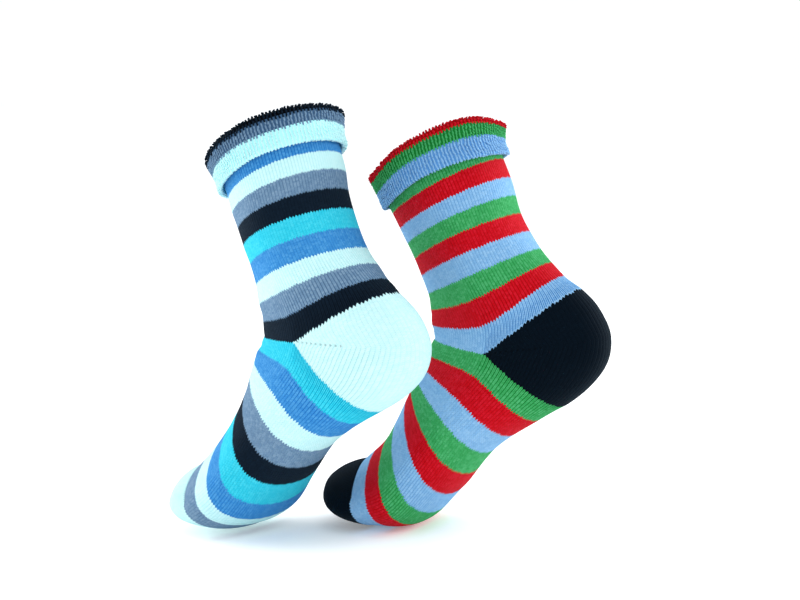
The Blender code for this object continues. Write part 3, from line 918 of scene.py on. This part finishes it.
def cuffLoops(name, sock, material):
    rng = np.random.default_rng(sock["seed"] + 7)
    terrySide, _ = cuffPath(sock, knit["pile"])
    along, foldAt, edgeAt = pathPlaces(terrySide)

    def surface(s, u, out):  # the path's points pushed outwards, in mm
        near = 0.05
        s = np.clip(s, near, along[-1] - near)
        ahead, behind = (
            [np.interp(at, along, terrySide[:, k]) for k in range(4)] for at in (s + near, s - near))
        here = [(a + b) / 2 for a, b in zip(ahead, behind)]
        step = unit(np.stack([(ahead[0] - behind[0]) * knit["stripe"], ahead[1] - behind[1]], axis=-1))
        return cuffPoints(
            sock, here[0] - step[..., 1] * out / knit["stripe"], here[1] + step[..., 0] * out, *here[2:], u)

    def nearFold(s):
        middle = s + loops["foldLead"] * loops["sizes"]["long"][0]
        return np.exp(-((middle - foldAt) / loops["foldReach"])**2)

    rowAt = [edgeAt + 0.5]
    while rowAt[-1] > loops["rowSpacing"]:
        rowAt.append(rowAt[-1] - loops["rowSpacing"] * (1 - loops["foldCrowding"] * nearFold(rowAt[-1])))
    rowAt = np.array(rowAt)
    s, u = loopPlaces(rowAt, rng)
    bands = np.repeat(rowAt - foldAt, knit["needles"])
    s = s + courseDip(sock, bands, u)
    onFold = nearFold(s)
    size = {key: flat + (curled - flat) * onFold for key, (flat, curled) in loops["sizes"].items()}
    return loopMesh(name, sock, surface, s, u, size, rng, material, bands, loops["sides"], loops["segments"])


def legLoops(name, sock, material):
    rng = np.random.default_rng(sock["seed"] + 9)
    ground = knit["pile"] - knit["wall"]
    start = cuff["seam"] * knit["stripe"]
    rowCount = int((loops["insideDepth"] - cuff["seam"]) * knit["stripe"] / loops["rowSpacing"])
    rowAt = start + (np.arange(rowCount) + 0.5) * loops["rowSpacing"]

    def surface(s, u, out):
        return tubePoints(sock["leg"], s / knit["stripe"], u * math.tau, ground - out)

    s, u = loopPlaces(rowAt, rng)
    size = {key: np.full(len(s), flat) for key, (flat, _) in loops["sizes"].items()}
    bands = np.repeat(rowAt / knit["stripe"] * knit["courses"], knit["needles"])
    return loopMesh(name, sock, surface, s, u, size, rng, material, bands,
                    loops["insideSides"], loops["insideSegments"])


seam = {
    "stitch": 1.1,  # mm from the middle of a linking stitch to its ends
    "proud": 0.5,
    "out": 0.1,
    "slant": 0.55,
    "blunt": 2.2,
    "thinnest": 0.02,
    "ahead": 0.02,  # shares of the toe pocket and of a stripe between which its direction is taken
    "behind": 0.1,
    "course": 40.0,
    "sides": 6,
    "segments": 5,
}


def linkedSeam(name, sock, material):
    # The toe is closed by linking the last course to the instep, stitch by stitch, over the toes.
    half, toeAt = knit["needles"] // 2, knit["toeAt"]
    lines = (0.75 + (np.arange(half - 2) + 1.5) / half / 2) % 1  # from side to side over the front
    angles = evenAngles(lambda probe: tubePoints(sock["foot"], toeAt, probe), lines)[0]
    middle = tubePoints(sock["foot"], toeAt, angles, seam["out"])
    ahead = toePoints(sock, seam["ahead"], math.pi - angles)
    along = unit(ahead - tubePoints(sock["foot"], toeAt - seam["behind"], angles))
    around = unit(np.gradient(middle, axis=0))
    normals = unit(np.cross(along, around))
    normals *= np.sign((normals * (middle - middle.mean(axis=0))).sum(axis=-1, keepdims=True))
    direction = unit(along + seam["slant"] * around)
    t = np.linspace(-1, 1, seam["segments"] + 1)
    swell = np.sqrt(np.maximum(1 - np.abs(t)**seam["blunt"], seam["thinnest"]))
    line = middle[:, None] + direction[:, None] * (t * seam["stitch"])[None, :, None]
    piece = yarnMesh(name, sock, line, np.cross(normals, direction)[:, None], normals[:, None],
                     (swell * seam["proud"])[None, :, None, None], seam["sides"], material, capped=True)
    blank = np.zeros(len(piece.data.vertices))
    paintLayer(piece, "knit", blank + 0.5, blank + seam["course"])
    paintNumber(piece, "opened", blank)
    return piece


# Creases: station, angle round the sock, half length in degrees, width in stripes, depth in mm, slant
creases = {
    "aqua": {
        "leg": ((7.6, 8, 62, 0.42, 0.9, 0.25), (8.5, -14, 70, 0.36, 0.8, -0.2),
                (6.6, -30, 44, 0.4, 0.5, 0.3), (7.9, 196, 40, 0.4, 0.45, 0.15),
                (3.1, 60, 50, 0.6, 0.35, 0.3)),
        "foot": ((9.7, 4, 66, 0.36, 0.8, 0.15), (10.8, -20, 48, 0.4, 0.5, 0.25),
                 (14.4, 176, 46, 0.5, 0.5, -0.2)),
    },
    "red": {
        "leg": ((7.5, -6, 60, 0.42, 0.9, -0.2), (8.4, 16, 72, 0.36, 0.85, 0.22),
                (6.4, 34, 40, 0.4, 0.5, -0.3), (7.8, 170, 42, 0.4, 0.4, 0.1),
                (2.6, 300, 46, 0.6, 0.35, 0.25)),
        "foot": ((9.6, -8, 64, 0.36, 0.85, -0.15), (10.9, 18, 46, 0.4, 0.5, 0.2),
                 (14.6, 186, 44, 0.5, 0.5, 0.2)),
    },
}


def makeSock(key):
    sock = socks[key]
    plain, leg, foot = sock["plain"], sock["legStripes"], sock["footStripes"]
    legFront = combedCottonJersey(key + "StripedJerseyLeg", leg[0], leg, foot[0])
    legBack = combedCottonJersey(key + "StripedJerseyCalf", leg[0], leg, plain)
    footFront = combedCottonJersey(key + "StripedJerseyInstep", leg[-1], foot, plain)
    footBack = combedCottonJersey(key + "StripedJerseySole", plain, foot, plain)
    heelLook = combedCottonJersey(key + "HeelJersey", leg[-1], (), plain, True, sock["heelTeeth"])
    toeLook = combedCottonJersey(key + "ToeJersey", foot[-1], (), plain)
    cuffYarn = terryYarn(key + "TerryLoops", sock["cuffBands"])
    # the cuff's ground cloth, in the terry yarn with painted shade
    shadedCuffGround = terryYarn(key + "ShadedTerryGround", sock["cuffBands"], terry["groundShade"], terry["groundShadeDepth"])
    insideYarn = terryYarn(key + "InsideTerry", [
        (terry["low"], leg[0]), *((i * knit["courses"], leg[i]) for i in range(1, 5))])

    name = key + "_{}_cloth"
    heelAt, toeAt, legFrom = knit["heelAt"], knit["toeAt"], cuff["seam"] + cuff["seamTrim"]
    pieces = {
        "cuff": cuffCloth(name.format("cuff"), sock, shadedCuffGround),
        "leg": tubePiece(name.format("leg"), sock, sock["leg"], legFrom, heelAt, creases[key]["leg"],
                         [legFront, legBack]),
        "heel": pocketPiece(name.format("heel"), sock, heelPoints, pocket["heelRows"], heelLook, True),
        "foot": tubePiece(name.format("foot"), sock, sock["foot"], heelAt, toeAt, creases[key]["foot"],
                          [footFront, footBack]),
        "toe": pocketPiece(name.format("toe"), sock, toePoints, pocket["toeRows"], toeLook, False),
    }
    added = {
        "cuff": [cuffLoops(key + "_cuff_loops", sock, cuffYarn)],
        "leg": [legLoops(key + "_leg_loops", sock, insideYarn)],
        "toe": [linkedSeam(key + "_toe_seam", sock, toeLook)],
    }
    for part, piece in pieces.items():
        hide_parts(f"{key}_sock_{part}")
        for each in [piece] + added.get(part, []):
            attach(each, "root")
    shown = [*pieces.values(), *sum(added.values(), [])]
    triangles = sum(len(face.vertices) - 2 for piece in shown for face in piece.data.polygons)
    print(key, "sock knitted:", len(shown), "pieces,", triangles, "triangles")


for key in socks:
    makeSock(key)


# Studio: pale floor, white surroundings, soft lights

studio = {
    "floorSize": 24.0,
    "floorGap": 0.2,  # mm below the lowest stitch
    "paper": {
        "Base Color": "#FFFFFF",
        "Roughness": 0.9,
        "Specular IOR Level": 0.1,
        "Emission Color": "#F2F4F6",  # lit from below too, so only the deepest shadows show
        "Emission Strength": 0.16,
    },
    "world": {"Color": "#F9FCFF", "Strength": 1.06},
    "lights": (
        # name, place, target, size, watts
        ("overhead", (0.1, -0.2, 1.6), (0.07, 0.02, -0.12), 1.4, 6.0),
        ("left", (-1.65, 0.85, 0.05), (0.05, 0.0, -0.12), 1.2, 30.0),
        ("right", (1.8, 0.85, 0.05), (0.08, 0.0, -0.12), 1.2, 44.0),
        ("front", (0.1, -2.2, 0.1), (0.08, 0.0, -0.14), 1.2, 7.0),
    ),
}


def makeStudio():
    half = studio["floorSize"] / 2
    low = cadBox[0].z - studio["floorGap"] * mm
    corners = np.array([(-half, -half, low), (half, -half, low), (half, half, low), (-half, half, low)])
    paper, _ = newMaterial("seamlessPaper")  # matt backdrop paper, pale and even
    setInputs(paper.node_tree.nodes["Principled BSDF"], studio["paper"])
    floor = addPiece("floor", corners, [(0, 1, 2, 3)], [paper])
    world = bpy.data.worlds.new("whiteSurroundings")
    world.use_nodes = True
    setInputs(world.node_tree.nodes["Background"], studio["world"])
    bpy.context.scene.world = world
    for name, place, target, size, watts in studio["lights"]:
        light = bpy.data.lights.new(name, "AREA")
        light.shape, light.size, light.energy = "DISK", size, watts
        lamp = addObject(name, light)
        lamp.location = place
        lamp.rotation_euler = (Vector(target) - Vector(place)).to_track_quat("-Z", "Y").to_euler()
    bpy.context.scene.view_settings.view_transform = "Standard"


view = {
    "target": (83.75, 29.34, -109.5),  # mm, the middle of the picture
    "distance": 1300.0,
    "tilt": 7.0,  # degrees down
    "lens": 87.75,
    "sensor": 36.0,
}


def makeCamera():
    camera = bpy.data.cameras.new("camera")
    camera.lens, camera.sensor_width = view["lens"], view["sensor"]
    eye = addObject("camera", camera)
    tilt = math.radians(view["tilt"])
    back = Vector((0, -math.cos(tilt), math.sin(tilt)))
    eye.location = (Vector(view["target"]) + back * view["distance"]) * mm
    eye.rotation_euler = (-back).to_track_quat("-Z", "Y").to_euler()
    bpy.context.scene.camera = eye


makeStudio()
makeCamera()
print("studio ready")
